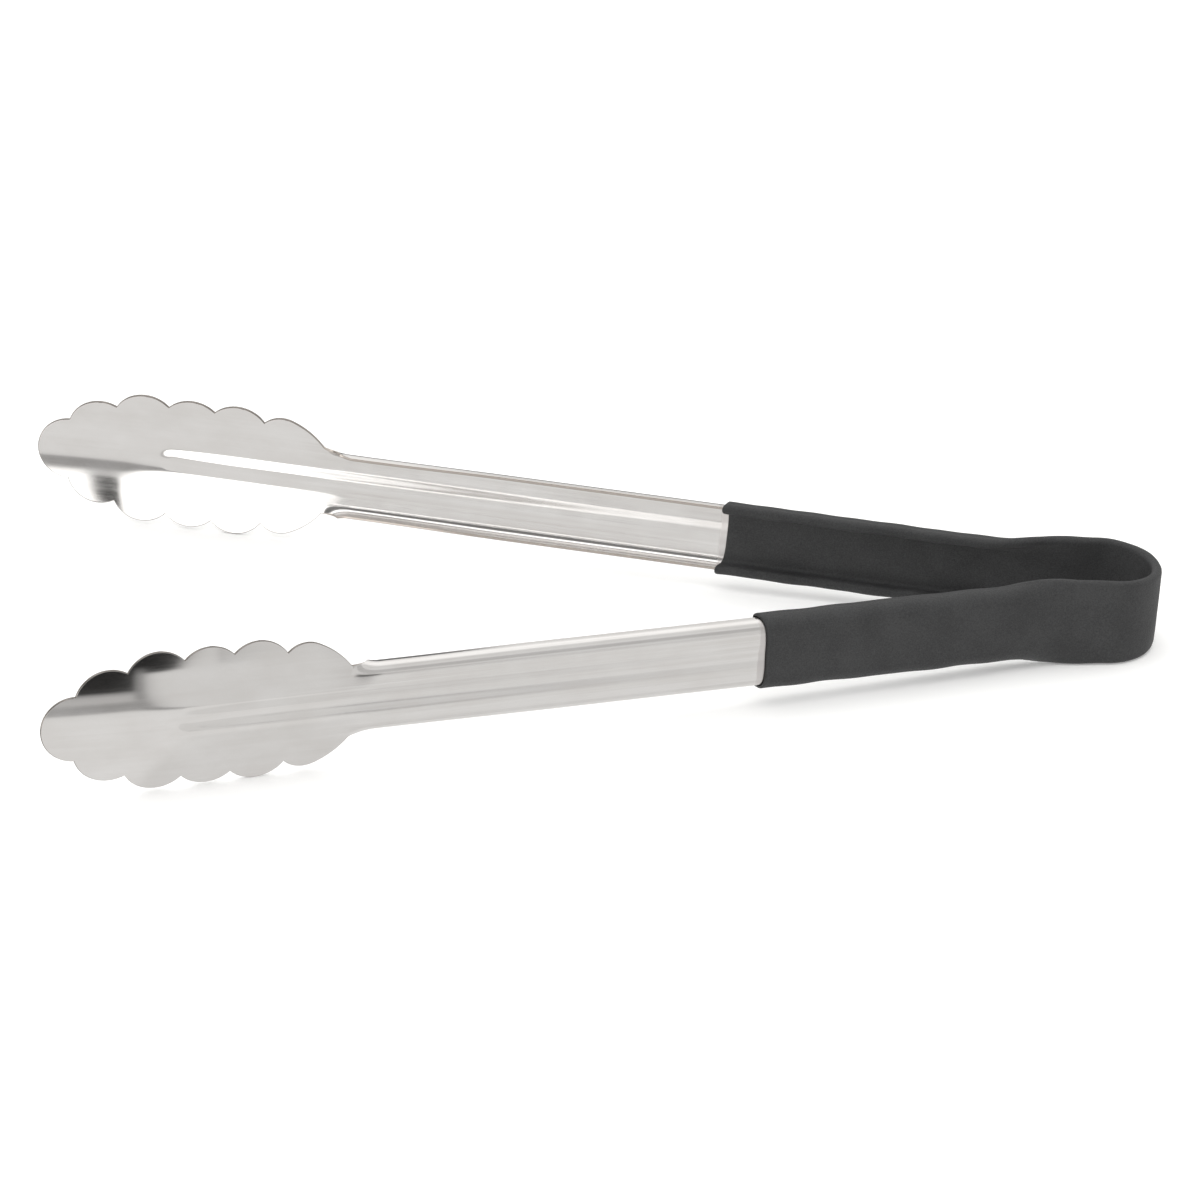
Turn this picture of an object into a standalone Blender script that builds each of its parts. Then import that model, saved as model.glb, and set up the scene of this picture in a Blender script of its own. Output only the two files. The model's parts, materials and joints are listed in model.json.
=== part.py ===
"""Spring-loaded kitchen tongs, 305 mm long, lying on their side.

One stainless strip is bent round a bow into two arms. Each arm is a channel with flanges folded inward,
and ends in a scalloped, dished pad. A dipped vinyl grip covers the bow and the arms as far as the hands
reach. The bow is the spring. It bends along its whole length, so it is cut here into short links that
turn about upright hinges on the strip's middle line, three hinges to a side.

Metres, +Z up. The tongs are drawn round their own axis: the bow towards +X, the pads towards -X, the
near arm at -Y and the far arm at +Y. Distances "along the strip" start at the crown of the bow.
"""

import math

import bpy
from mathutils import Vector

# Strip and bow, in plan
STEEL = 0.0009  # sheet thickness
BOW_RADIUS = 0.0142  # middle line of the strip round the crown
BOW_CENTRE_X = -0.0068
BOW_STRAIGHT = 0.0042  # parallel sides between the crown's half circle and the flare
FLARE_RADIUS = 0.060
ARM_ANGLE = math.radians(15.9)  # each arm from the tongs' axis, at rest
BOW_HALF_WIDTH = 0.0108
CROWN_WAIST = 0.0008  # the strip is this much narrower, each side, at the crown

# Channel of the arms, measured on the middle of the sheet
WEB_HALF = 0.0066  # flat part of the web, from its middle to the fold
FOLD_RADIUS = 0.0026
FOLD_LENGTH = FOLD_RADIUS * math.pi / 2
FLANGE = 0.0013  # straight part of a flange
CHANNEL_HALF = WEB_HALF + FOLD_LENGTH + FLANGE  # half the flat width before folding
FLANGES_GONE = 0.0260  # along the strip: flat bow before this, full channel after the next
FLANGES_FULL = 0.0540

# Pad, along the strip and across it
PAD_START = 0.2388
PAD_START_HALF = 0.0101
SHOULDER = (0.2478, 0.0170)  # the edge swings out from the arm to here before the first lobe
SHOULDER_RADIUS = 0.0220
CUSPS = ((0.2560, 0.0154), (0.2703, 0.0166), (0.2835, 0.0163), (0.2985, 0.0144), (0.3119, 0.0090))
FIRST_LOBE_RADIUS = 0.0075
LOBE_RADIUS = 0.0094
TIP_LOBE_CENTRE = 0.3117
FAN_CENTRE = 0.3035  # the rows of the pad's mesh fan round this point at the tip
FOLD_RUN = 0.0085  # the flanges unfold into the pad over this length
FLANGE_NOSE = 0.0075  # rounded start of a flange's free edge
FREE_EDGE_EASE = 0.0010  # rounds the corner where the free edge leaves the arm's outline
FOLDING_HALF = 0.0093  # half height of the arm just before its flanges are fully folded
OVERFOLD = math.radians(8)  # by how much the flanges lean past upright near the pad
OVERFOLD_FROM, OVERFOLD_TO = 0.1850, 0.2250
DISH_SLOPE = math.tan(math.radians(6.5))
DISH_FROM, DISH_TO = 0.0025, 0.0050  # across the pad: its sides bend up between these
BOWL = 8.5  # curvature across the tip, where the dish is round instead of creased
BOWL_FROM, BOWL_TO = 0.2740, 0.2980
LOBE_LIFT = 10.0  # curvature added past the next distance from the middle line
LOBE_LIFT_FROM = 0.0120
CURL_START = 0.2768
CURL = 1.34  # rise of the tip per metre squared past the curl's start

# Stiffening rib, pressed inward along the web
RIB_END = 0.2868
RIB_FLAT, RIB_HALF = 0.0007, 0.0037
RIB_NOSE = 1.3  # the rib's round end is this much longer than wide
RIB_DEPTH = 0.00066
RIB_SHALLOW = 0.30  # share of the depth left towards the grip
RIB_END_SHARE, RIB_END_RUN = 0.55, 0.0250  # share of the depth left at its round end, and over what length
RIB_GONE, RIB_RUNOUT = 0.1245, 0.0080  # the rib has run out here, and starts to run out this much before

# Vinyl grip
GRIP_END = 0.1237
VINYL_OUTER = STEEL / 2 + 0.0010
VINYL_INNER = STEEL / 2 + 0.0003

# Spring links
HINGES = (0.0070, 0.0190, 0.0310)
LINK_GAP = 0.0003

# Mesh
LOBE_STEPS = 4
FOLD_STEPS = 3
FADE_ROWS = 13  # from the last hinge to the full channel
RUNOUT_ROWS = 3
CHANNEL_ROWS = 7
FOLDING_ROWS = 9
FOLDING_CROWD = 1.6  # power by which the rows crowd towards the pad where the flanges unfold
LINK_ROWS = 4
LEAST_STEP = 0.0003  # least width of a mesh face beside an edge
SAME_POINT = 1e-7
LEAST_TURN = 1e-6  # radians

STEEL_COLOUR, STEEL_ROUGHNESS = (0.62, 0.60, 0.57, 1.0), 0.28
VINYL_COLOUR, VINYL_ROUGHNESS = (0.052, 0.053, 0.055, 1.0), 0.62


def smooth(value, low, high):
    """0 below low, 1 above high, with a smooth step between."""
    t = min(1.0, max(0.0, (value - low) / (high - low)))
    return t * t * (3.0 - 2.0 * t)


def centreline(along, side):
    """Plan point and unit inward normal of the strip's middle line on one side."""
    quarter = BOW_RADIUS * math.pi / 2
    flare_start = quarter + BOW_STRAIGHT
    flare_end = flare_start + FLARE_RADIUS * ARM_ANGLE
    if along <= quarter:
        turn = along / BOW_RADIUS
        point = Vector((BOW_CENTRE_X + BOW_RADIUS * math.cos(turn), BOW_RADIUS * math.sin(turn)))
        tangent = Vector((-math.sin(turn), math.cos(turn)))
    elif along <= flare_start:
        point = Vector((BOW_CENTRE_X - (along - quarter), BOW_RADIUS))
        tangent = Vector((-1.0, 0.0))
    else:
        turn = (min(along, flare_end) - flare_start) / FLARE_RADIUS
        point = Vector((BOW_CENTRE_X - BOW_STRAIGHT, BOW_RADIUS))
        point += FLARE_RADIUS * Vector((-math.sin(turn), 1.0 - math.cos(turn)))
        tangent = Vector((-math.cos(turn), math.sin(turn)))
        point += max(0.0, along - flare_end) * tangent
    inward = Vector((-tangent.y, tangent.x))
    mirror = Vector((1.0, side))
    return point * mirror, inward * mirror


def fold_angle(along):
    """How far the flanges are folded at a place along the strip."""
    unfolding = min(1.0, max(0.0, (PAD_START - along) / FOLD_RUN))
    towards_pad = 1.0 - (1.0 - unfolding) ** 2
    folded = math.pi / 2 + OVERFOLD * smooth(along, OVERFOLD_FROM, OVERFOLD_TO)
    return folded * smooth(along, FLANGES_GONE, FLANGES_FULL) * towards_pad


def folding_half(along):
    """Half the flat width that keeps the arm's height while its flanges unfold into the pad."""
    share = min(1.0, max(0.0, (PAD_START - along) / FOLD_RUN))
    height = PAD_START_HALF + (FOLDING_HALF - PAD_START_HALF) * share - WEB_HALF
    angle = fold_angle(along)
    if angle < LEAST_TURN:
        return WEB_HALF + height
    radius = FOLD_LENGTH / angle
    if height < radius * math.sin(min(angle, math.pi / 2)):
        return WEB_HALF + radius * math.asin(height / radius)
    if angle > math.pi / 2 - LEAST_TURN:
        return CHANNEL_HALF
    flange = (height - radius * math.sin(angle)) / math.cos(angle)
    return min(CHANNEL_HALF, WEB_HALF + FOLD_LENGTH + flange)


def edge_half(along):
    """Half the flat width of the strip before the pad."""
    nose = min(1.0, max(0.0, (PAD_START - along) / FLANGE_NOSE))
    channel = PAD_START_HALF + (CHANNEL_HALF - PAD_START_HALF) * math.sqrt(1.0 - (1.0 - nose) ** 2)
    unfolding = min(1.0, max(0.0, (PAD_START - along) / FOLD_RUN))
    if unfolding < 1.0:
        folding = folding_half(along)
        ease = FREE_EDGE_EASE * 4.0 * unfolding * (1.0 - unfolding)
        channel = (channel + folding - math.hypot(channel - folding, ease)) / 2
    grown = smooth(along, FLANGES_GONE, FLANGES_FULL)
    waist = CROWN_WAIST * (1.0 - smooth(abs(along), 0.0, BOW_RADIUS * math.pi / 2))
    return BOW_HALF_WIDTH - waist + (channel - BOW_HALF_WIDTH) * grown


def rib_rise(along, across):
    """Height of the pressed rib, which has a round end in the pad and runs out just before the grip."""
    past_end = max(0.0, along - (RIB_END - RIB_NOSE * RIB_HALF)) / RIB_NOSE
    wall = 1.0 - smooth(math.hypot(past_end, across), RIB_FLAT, RIB_HALF)
    depth = RIB_SHALLOW + (1.0 - RIB_SHALLOW) * smooth(along, RIB_GONE, PAD_START)
    depth *= 1.0 - (1.0 - RIB_END_SHARE) * smooth(along, RIB_END - RIB_END_RUN, RIB_END)
    return RIB_DEPTH * wall * depth * smooth(along, RIB_GONE, RIB_GONE + RIB_RUNOUT)


def dish_rise(along, across):
    """Inward rise of the pad's sides and tip: creased down the middle, and round near the tip."""
    bend = DISH_TO - DISH_FROM
    t = min(1.0, max(0.0, (across - DISH_FROM) / bend))
    creased = DISH_SLOPE * (0.5 * bend * t * t + max(0.0, across - DISH_TO))
    sides = creased + (0.5 * BOWL * across**2 - creased) * smooth(along, BOWL_FROM, BOWL_TO)
    sides += 0.5 * LOBE_LIFT * max(0.0, across - LOBE_LIFT_FROM) ** 2
    tip = CURL * max(0.0, along - CURL_START) ** 2
    return sides * smooth(along, PAD_START - FOLD_RUN, PAD_START) + tip


def section(along, across):
    """(height, inward rise) of the sheet's middle at a place along the strip and across it."""
    angle = fold_angle(along)
    reach = abs(across)
    height, rise = min(reach, WEB_HALF), 0.0
    if reach > WEB_HALF:
        bent = min(1.0, (reach - WEB_HALF) / FOLD_LENGTH)
        turn = max(angle * bent, LEAST_TURN)
        chord = bent * FOLD_LENGTH / turn
        height += chord * math.sin(turn)
        rise += chord * (1.0 - math.cos(turn))
        straight = max(0.0, reach - WEB_HALF - FOLD_LENGTH)
        height += straight * math.cos(turn)
        rise += straight * math.sin(turn)
    rise += dish_rise(along, reach) + rib_rise(along, reach)
    return math.copysign(height, across), rise


def place(along, across, side):
    """Point of the sheet's middle surface."""
    height, rise = section(along, across)
    point, inward = centreline(along, side)
    point = point + inward * rise
    return Vector((point.x, point.y, height))


def arc(start, end, radius, steps):
    """Points after start, up to end, on the arc that bulges to the left of start to end."""
    chord = end - start
    out = Vector((-chord.y, chord.x)).normalized()
    half = math.asin(chord.length / (2.0 * radius))
    centre = (start + end) / 2 - out * radius * math.cos(half)
    along = chord.normalized()
    turns = [half * (2.0 * k / steps - 1.0) for k in range(1, steps + 1)]
    return [centre + radius * (out * math.cos(t) + along * math.sin(t)) for t in turns]


def pad_edge():
    """Upper edge of the pad from its start to the tip, as (along, across)."""
    points = [Vector((PAD_START, PAD_START_HALF))]
    points += arc(points[0], Vector(SHOULDER), SHOULDER_RADIUS, LOBE_STEPS)
    radius = FIRST_LOBE_RADIUS
    for cusp in CUSPS:
        points += arc(points[-1], Vector(cusp), radius, LOBE_STEPS)
        radius = LOBE_RADIUS
    centre = Vector((TIP_LOBE_CENTRE, 0.0))
    spoke = points[-1] - centre
    start_turn = math.atan2(spoke.y, spoke.x)
    for k in range(1, LOBE_STEPS + 1):
        turn = start_turn * (1.0 - k / LOBE_STEPS)
        points.append(centre + spoke.length * Vector((math.cos(turn), math.sin(turn))))
    return points


def spread(first, last, count):
    return [first + (last - first) * k / (count - 1) for k in range(count)]


def gripped_rows(start):
    """Places of the mesh rows that an arm and its grip share."""
    return spread(start, FLANGES_FULL, FADE_ROWS)


def arm_rows(start):
    """(root on the axis, edge) of each mesh row from a hinge to the tip."""
    alongs = gripped_rows(start) + spread(RIB_GONE, RIB_GONE + RIB_RUNOUT, RUNOUT_ROWS)
    alongs += spread(RIB_GONE + RIB_RUNOUT, PAD_START - FOLD_RUN, CHANNEL_ROWS)[1:]
    left = [(1.0 - k / FOLDING_ROWS) ** FOLDING_CROWD for k in range(1, FOLDING_ROWS)]
    alongs += [PAD_START - FOLD_RUN * share for share in left]
    rows = [(Vector((along, 0.0)), Vector((along, edge_half(along)))) for along in alongs]
    for edge in pad_edge():
        rows.append((Vector((min(edge.x, FAN_CENTRE), 0.0)), edge))
    return rows


def fold_stops():
    """Distances from the axis to the points across a fold, from the web to the flange."""
    return [WEB_HALF + FOLD_LENGTH * k / FOLD_STEPS for k in range(FOLD_STEPS + 1)]


def fitted(stops, half):
    """The stops, drawn in where the strip is too narrow for them, and its edge after them."""
    scale = min(1.0, (half - LEAST_STEP) / stops[-1])
    return [stop * scale for stop in stops] + [half]


def across_stops(half):
    """Distances from the axis to the points of a mesh row, the edge last."""
    return fitted([0.0, RIB_FLAT, (RIB_FLAT + RIB_HALF) / 2, RIB_HALF] + fold_stops(), half)


def material(name, colour, roughness, metallic):
    made = bpy.data.materials.new(name)
    made.use_nodes = True
    shader = made.node_tree.nodes["Principled BSDF"]
    shader.inputs["Base Color"].default_value = colour
    shader.inputs["Roughness"].default_value = roughness
    shader.inputs["Metallic"].default_value = metallic
    made.diffuse_color = colour
    return made


def steel(name):
    return material(name + "_steel", STEEL_COLOUR, STEEL_ROUGHNESS, 1.0)


def vinyl(name):
    return material(name + "_vinyl", VINYL_COLOUR, VINYL_ROUGHNESS, 0.0)


def empty(name, parent, position):
    """An empty at a point given in the tongs' own frame."""
    made = bpy.data.objects.new(name, None)
    made.empty_display_size = 0.01
    bpy.context.scene.collection.objects.link(made)
    made.parent = parent
    made["frame_position"] = position
    offset = Vector(parent["frame_position"]) if parent else Vector((0.0, 0.0, 0.0))
    made.location = Vector(position) - offset
    return made


def mesh_object(name, parent, points, faces, finish):
    """A mesh drawn in the tongs' own frame, with its origin on its parent's hinge."""
    origin = Vector(parent["frame_position"])
    mesh = bpy.data.meshes.new(name)
    mesh.from_pydata([point - origin for point in points], [], faces)
    mesh.validate()
    mesh.materials.append(finish)
    made = bpy.data.objects.new(name, mesh)
    bpy.context.scene.collection.objects.link(made)
    made.parent = parent
    return made


def sheet(name, parent, grid, side, finish):
    """A solid sheet of the steel's thickness round a grid of middle points."""
    points, index, keys = [], {}, []
    for row in grid:
        line = []
        for point in row:
            key = tuple(round(value / SAME_POINT) for value in point)
            if key not in index:
                index[key] = len(points)
                points.append(point)
            line.append(index[key])
        keys.append(line)
    faces = []
    for low, high in zip(keys, keys[1:]):
        for k in range(len(low) - 1):
            corners = [low[k], low[k + 1], high[k + 1], high[k]]
            face = list(dict.fromkeys(corners if side > 0 else corners[::-1]))
            if len(face) > 2:
                faces.append(face)
    made = mesh_object(name, parent, points, faces, finish)
    solidify = made.modifiers.new("sheet", "SOLIDIFY")
    solidify.thickness = STEEL
    solidify.offset = 0.0
    solidify.use_even_offset = True
    return made


def strip_grid(alongs, side):
    """Rows of middle points of the strip where it has no pad."""
    grid = []
    for along in alongs:
        stops = across_stops(edge_half(along))
        acrosses = [-stop for stop in stops[:0:-1]] + stops
        grid.append([place(along, across, side) for across in acrosses])
    return grid


def arm_grid(start, side):
    """Rows of middle points of an arm with its pad."""
    grid = []
    for root, edge in arm_rows(start):
        reach = (edge - root).length
        line = []
        for sign in (-1, 1):
            half = [root + (edge - root) * (stop / reach) for stop in across_stops(reach)]
            half = half[:0:-1] if sign < 0 else half
            line += [place(point.x, sign * point.y, side) for point in half]
        grid.append(line)
    return grid


def skin_loop(along, side, offset):
    """Closed loop round the strip's section, a constant distance off its middle."""
    angle = fold_angle(along)
    stops = fitted(fold_stops(), edge_half(along))
    acrosses = [-stop for stop in stops[::-1]] + stops
    middle = []
    for across in acrosses:
        height, rise = section(along, across)
        bent = min(1.0, max(0.0, (abs(across) - WEB_HALF) / FOLD_LENGTH)) * angle
        outward = math.copysign(1.0, across)
        middle.append((Vector((height, rise)), Vector((-outward * math.sin(bent), math.cos(bent)))))
    inner = [point + normal * offset for point, normal in middle]
    outer = [point - normal * offset for point, normal in middle[::-1]]
    loop = inner + round_edge(middle[-1], offset, 1.0) + outer + round_edge(middle[0], offset, -1.0)
    point, inward = centreline(along, side)
    return [Vector((*(point + inward * rise), height)) for height, rise in loop]


def round_edge(end, offset, outward):
    """Points that carry the loop round a free edge of the strip."""
    point, normal = end
    along = Vector((normal.y, -normal.x)) * outward
    turns = (math.pi / 3, 0.0, -math.pi / 3)
    turns = turns if outward > 0 else turns[::-1]
    return [point + offset * (normal * math.sin(t) + along * math.cos(t)) for t in turns]


def skin(name, parent, alongs, side, finish):
    """A tube of vinyl round the strip, open at both ends for the strip."""
    loops = [skin_loop(along, side, VINYL_OUTER) for along in alongs]
    linings = [skin_loop(along, side, VINYL_INNER) for along in alongs]
    count = len(loops[0])
    points = [point for loop in loops + linings for point in loop]
    rows = len(alongs)
    faces = []

    def quad(first, second, k):
        after = (k + 1) % count
        faces.append((first * count + k, second * count + k, second * count + after, first * count + after))

    for row in range(rows - 1):
        for k in range(count):
            quad(row, row + 1, k)
            quad(rows + row + 1, rows + row, k)
    for k in range(count):
        quad(rows, 0, k)
        quad(rows - 1, 2 * rows - 1, k)
    if side > 0:
        faces = [face[::-1] for face in faces]
    return mesh_object(name, parent, points, faces, finish)


def hinge(name, parent, along, side):
    point, _ = centreline(along, side)
    return empty(name, parent, (point.x, point.y, 0.0))


def build_side(word, side, root):
    """Two spring links and the arm of one side, each hung on its own hinge."""
    parent = root
    for number in (1, 2):
        parent = hinge(f"{word}_hinge_{number}", parent, HINGES[number - 1], side)
        start, end = HINGES[number - 1] + LINK_GAP / 2, HINGES[number] - LINK_GAP / 2
        alongs = spread(start, end, LINK_ROWS)
        name = f"{word}_spring_link_{number}"
        sheet(name, parent, strip_grid(alongs, side), side, steel(name))
        name = f"{word}_grip_link_{number}"
        skin(name, parent, alongs, side, vinyl(name))
    parent = hinge(f"{word}_hinge_3", parent, HINGES[2], side)
    start = HINGES[2] + LINK_GAP / 2
    sheet(f"{word}_arm", parent, arm_grid(start, side), side, steel(f"{word}_arm"))
    alongs = gripped_rows(start) + [GRIP_END]
    skin(f"{word}_grip", parent, alongs, side, vinyl(f"{word}_grip"))


def stand_on_floor(root):
    """Tips the tongs until bow and pads touch the floor, and puts the origin under their middle."""
    peak = max(pad_edge(), key=lambda point: point.y)
    pad_point, _ = centreline(peak.x, 1.0)
    drop = peak.y - (BOW_HALF_WIDTH + VINYL_OUTER)
    run = BOW_CENTRE_X - pad_point.x
    root.rotation_euler = (0.0, math.atan2(drop, run), 0.0)
    bpy.context.view_layer.update()
    graph = bpy.context.evaluated_depsgraph_get()
    points = []
    for obj in bpy.context.scene.objects:
        if obj.type == "MESH":
            evaluated = obj.evaluated_get(graph)
            points += [evaluated.matrix_world @ vertex.co for vertex in evaluated.data.vertices]
    low = Vector(min(point[k] for point in points) for k in range(3))
    high = Vector(max(point[k] for point in points) for k in range(3))
    root.location = (-(low.x + high.x) / 2, -(low.y + high.y) / 2, -low.z)
    bpy.context.view_layer.update()


def main():
    for obj in list(bpy.data.objects):
        bpy.data.objects.remove(obj, do_unlink=True)
    root = empty("tongs", None, (0.0, 0.0, 0.0))
    reach = HINGES[0] - LINK_GAP / 2
    crown = spread(-reach, reach, LINK_ROWS + 1)
    sheet("spring_crown", root, strip_grid(crown, 1.0), 1.0, steel("spring_crown"))
    skin("grip_crown", root, crown, 1.0, vinyl("grip_crown"))
    build_side("near", -1.0, root)
    build_side("far", 1.0, root)
    stand_on_floor(root)


main()
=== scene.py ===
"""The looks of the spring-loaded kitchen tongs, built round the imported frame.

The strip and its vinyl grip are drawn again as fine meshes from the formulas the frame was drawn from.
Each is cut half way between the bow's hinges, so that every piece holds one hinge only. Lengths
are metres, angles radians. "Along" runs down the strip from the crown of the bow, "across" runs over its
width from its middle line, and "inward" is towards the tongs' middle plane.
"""

import json
import math

import bpy
import numpy as np
from mathutils import Matrix, Vector


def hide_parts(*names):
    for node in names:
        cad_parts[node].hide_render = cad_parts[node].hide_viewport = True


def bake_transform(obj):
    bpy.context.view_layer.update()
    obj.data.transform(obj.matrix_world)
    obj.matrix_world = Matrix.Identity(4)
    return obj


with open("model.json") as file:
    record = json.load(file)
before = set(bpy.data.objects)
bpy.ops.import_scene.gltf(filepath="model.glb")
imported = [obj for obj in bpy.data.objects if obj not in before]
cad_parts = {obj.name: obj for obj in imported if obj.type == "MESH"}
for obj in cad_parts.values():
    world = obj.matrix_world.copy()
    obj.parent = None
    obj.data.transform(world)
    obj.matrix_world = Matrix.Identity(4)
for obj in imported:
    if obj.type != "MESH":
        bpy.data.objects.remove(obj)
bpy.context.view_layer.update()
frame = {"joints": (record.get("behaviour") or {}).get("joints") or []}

# Strip and bow, in plan
STEEL = 0.0009
BOW_RADIUS = 0.0142
BOW_CENTRE_X = -0.0068
BOW_STRAIGHT = 0.0042
FLARE_RADIUS = 0.060
ARM_ANGLE = math.radians(15.9)
BOW_HALF_WIDTH = 0.0108
CROWN_WAIST = 0.0008
HINGES = (0.0070, 0.0190, 0.0310)
SEAMS = (0.0, 0.0130, 0.0250)  # where one piece ends and the next begins

# Channel of the arms
WEB_HALF = 0.0066
FOLD_RADIUS = 0.0026
FOLD_LENGTH = FOLD_RADIUS * math.pi / 2
FLANGE = 0.0013
CHANNEL_HALF = WEB_HALF + FOLD_LENGTH + FLANGE
FLANGES_GONE, FLANGES_FULL = 0.0260, 0.0540

# Pad
PAD_START = 0.2388
PAD_START_HALF = 0.0101
SHOULDER, SHOULDER_RADIUS = (0.2478, 0.0170), 0.0220
CUSPS = ((0.2560, 0.0154), (0.2703, 0.0166), (0.2835, 0.0163), (0.2985, 0.0144), (0.3119, 0.0090))
FIRST_LOBE_RADIUS, LOBE_RADIUS = 0.0075, 0.0094
TIP_LOBE_CENTRE = 0.3117
FAN_CENTRE = 0.3035
FOLD_RUN = 0.0085
FLANGE_NOSE = 0.0075
FREE_EDGE_EASE = 0.0010
FOLDING_HALF = 0.0093
OVERFOLD = math.radians(8)
OVERFOLD_FROM, OVERFOLD_TO = 0.1850, 0.2250
DISH_SLOPE = math.tan(math.radians(6.5))
DISH_FROM, DISH_TO = 0.0025, 0.0050
BOWL = 8.5
BOWL_FROM, BOWL_TO = 0.2740, 0.2980
LOBE_LIFT = 10.0
LOBE_LIFT_FROM = 0.0120
CURL_START, CURL = 0.2768, 1.34

# Rib
RIB_END = 0.2868
RIB_FLAT, RIB_HALF = 0.0007, 0.0037
RIB_NOSE = 1.3
RIB_DEPTH = 0.00066
RIB_SHALLOW = 0.30
RIB_END_SHARE, RIB_END_RUN = 0.30, 0.0250
RIB_GONE = 0.1100  # the rib runs out inside the grip

# Faint lengthwise waves that rolling and folding leave in the web
ROLL_WAVES = (  # (height, radians per metre across and along, phase)
    (0.000006, 2050.0, 30.0, 0.0),
    (0.000010, 1130.0, -19.0, 1.0),
)
ROLL_FROM, ROLL_FULL = 0.10, 0.13
ROLL_PRESSED_FROM, ROLL_PRESSED_TO = 0.225, PAD_START + 0.012
ROLL_PRESSED = 0.85  # the share that pressing the pad takes away

# Vinyl
GRIP_END = 0.1237
VINYL_OUTER = STEEL / 2 + 0.0010
VINYL_INNER = STEEL / 2 + 0.0003
END_RUN = 0.012  # the grip's end is drawn askew over this length
END_HOLLOW, END_SLANT = 0.00025, 0.00020
# The end stops short by the first of these, with the second added on the near side and taken off the far.
END_SHORT, END_SHORT_SIDE = 0.00100, 0.00045
LUMPS = (  # unevenness of the dipped skin: (wave vector per metre, phase, height)
    ((310.0, 90.0, 420.0), 0.4, 0.00007),
    ((-190.0, 260.0, 510.0), 1.9, 0.00006),
    ((520.0, -140.0, 160.0), 3.1, 0.00005),
    ((150.0, 610.0, -230.0), 4.4, 0.00004),
)

EDGE_ROUND = 0.00028  # rounding of the sheet's stamped edges

# Mesh fineness
RIB_STOPS, WEB_STOPS, FOLD_STOPS, EDGE_STOPS = 13, 8, 14, 6
EDGE_ROOM = 0.0003  # the least room between the fold's last mesh line and the rim
RIM_STEPS = 5
LOBE_STEPS = 26
ROW_PITCH = 0.0015
UNFOLDING_ROWS = 60
UNFOLDING_CROWD = 1.6
LIP_STEPS = 5
SAME_POINT = 1e-7
LEAST_TURN, LEAST_FOLD = 1e-6, 1e-4  # radians
LEAST_LENGTH = 1e-12

# Camera, in the tongs' own frame
CAMERA_AZIMUTH, CAMERA_ELEVATION = math.radians(-7.319), math.radians(25.0)
CAMERA_ROLL = math.radians(4.171)
CAMERA_DISTANCE = 1.4508
CAMERA_TARGET = Vector((-0.1442, 0.0, -0.0028))
CAMERA_LENS, CAMERA_SENSOR = 161.07, 36.0  # millimetres
CAMERA_CLIP = (0.05, 50.0)


def smooth(value, low, high):
    t = np.clip((value - low) / (high - low), 0.0, 1.0)
    return t * t * (3.0 - 2.0 * t)


def centreline(along, side):
    """Plan points (x, y) and inward normals of the strip's middle line on one side."""
    quarter = BOW_RADIUS * math.pi / 2
    bow = np.minimum(along, quarter) / BOW_RADIUS
    straight = np.clip(along - quarter, 0.0, BOW_STRAIGHT)
    past = along - quarter - BOW_STRAIGHT
    flare = np.clip(past, 0.0, FLARE_RADIUS * ARM_ANGLE) / FLARE_RADIUS
    rest = np.maximum(past - FLARE_RADIUS * ARM_ANGLE, 0.0)
    x = BOW_CENTRE_X + BOW_RADIUS * np.cos(bow) - straight
    y = BOW_RADIUS * np.sin(bow)
    x = x - FLARE_RADIUS * np.sin(flare) - rest * math.cos(ARM_ANGLE)
    y = y + FLARE_RADIUS * (1.0 - np.cos(flare)) + rest * math.sin(ARM_ANGLE)
    heading = math.pi / 2 + bow - flare
    inward = np.stack([-np.sin(heading), np.cos(heading) * side], -1)
    return np.stack([x, y * side], -1), inward


def fold_angle(along):
    """How far the flanges are folded."""
    unfolding = np.clip((PAD_START - along) / FOLD_RUN, 0.0, 1.0)
    towards_pad = 1.0 - (1.0 - unfolding) ** 2
    folded = math.pi / 2 + OVERFOLD * smooth(along, OVERFOLD_FROM, OVERFOLD_TO)
    return folded * smooth(along, FLANGES_GONE, FLANGES_FULL) * towards_pad


def folding_half(along):
    """Half the flat width that keeps the arm's height while its flanges unfold into the pad."""
    share = np.clip((PAD_START - along) / FOLD_RUN, 0.0, 1.0)
    height = PAD_START_HALF + (FOLDING_HALF - PAD_START_HALF) * share - WEB_HALF
    angle = np.clip(fold_angle(along), LEAST_FOLD, math.pi / 2 - LEAST_FOLD)
    radius = FOLD_LENGTH / angle
    in_fold = radius * np.arcsin(np.minimum(height / radius, 1.0))
    flange = (height - radius * np.sin(angle)) / np.cos(angle)
    reach = np.where(flange < 0.0, in_fold, FOLD_LENGTH + flange)
    return np.minimum(CHANNEL_HALF, WEB_HALF + reach)


def edge_half(along):
    """Half the flat width of the strip before the pad."""
    nose = np.clip((PAD_START - along) / FLANGE_NOSE, 0.0, 1.0)
    channel = PAD_START_HALF + (CHANNEL_HALF - PAD_START_HALF) * np.sqrt(1.0 - (1.0 - nose) ** 2)
    unfolding = np.clip((PAD_START - along) / FOLD_RUN, 0.0, 1.0)
    folding = folding_half(along)
    ease = FREE_EDGE_EASE * 4.0 * unfolding * (1.0 - unfolding)
    channel = np.where(unfolding < 1.0, (channel + folding - np.hypot(channel - folding, ease)) / 2, channel)
    grown = smooth(along, FLANGES_GONE, FLANGES_FULL)
    waist = CROWN_WAIST * (1.0 - smooth(np.abs(along), 0.0, BOW_RADIUS * math.pi / 2))
    return BOW_HALF_WIDTH - waist + (channel - BOW_HALF_WIDTH) * grown


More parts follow.
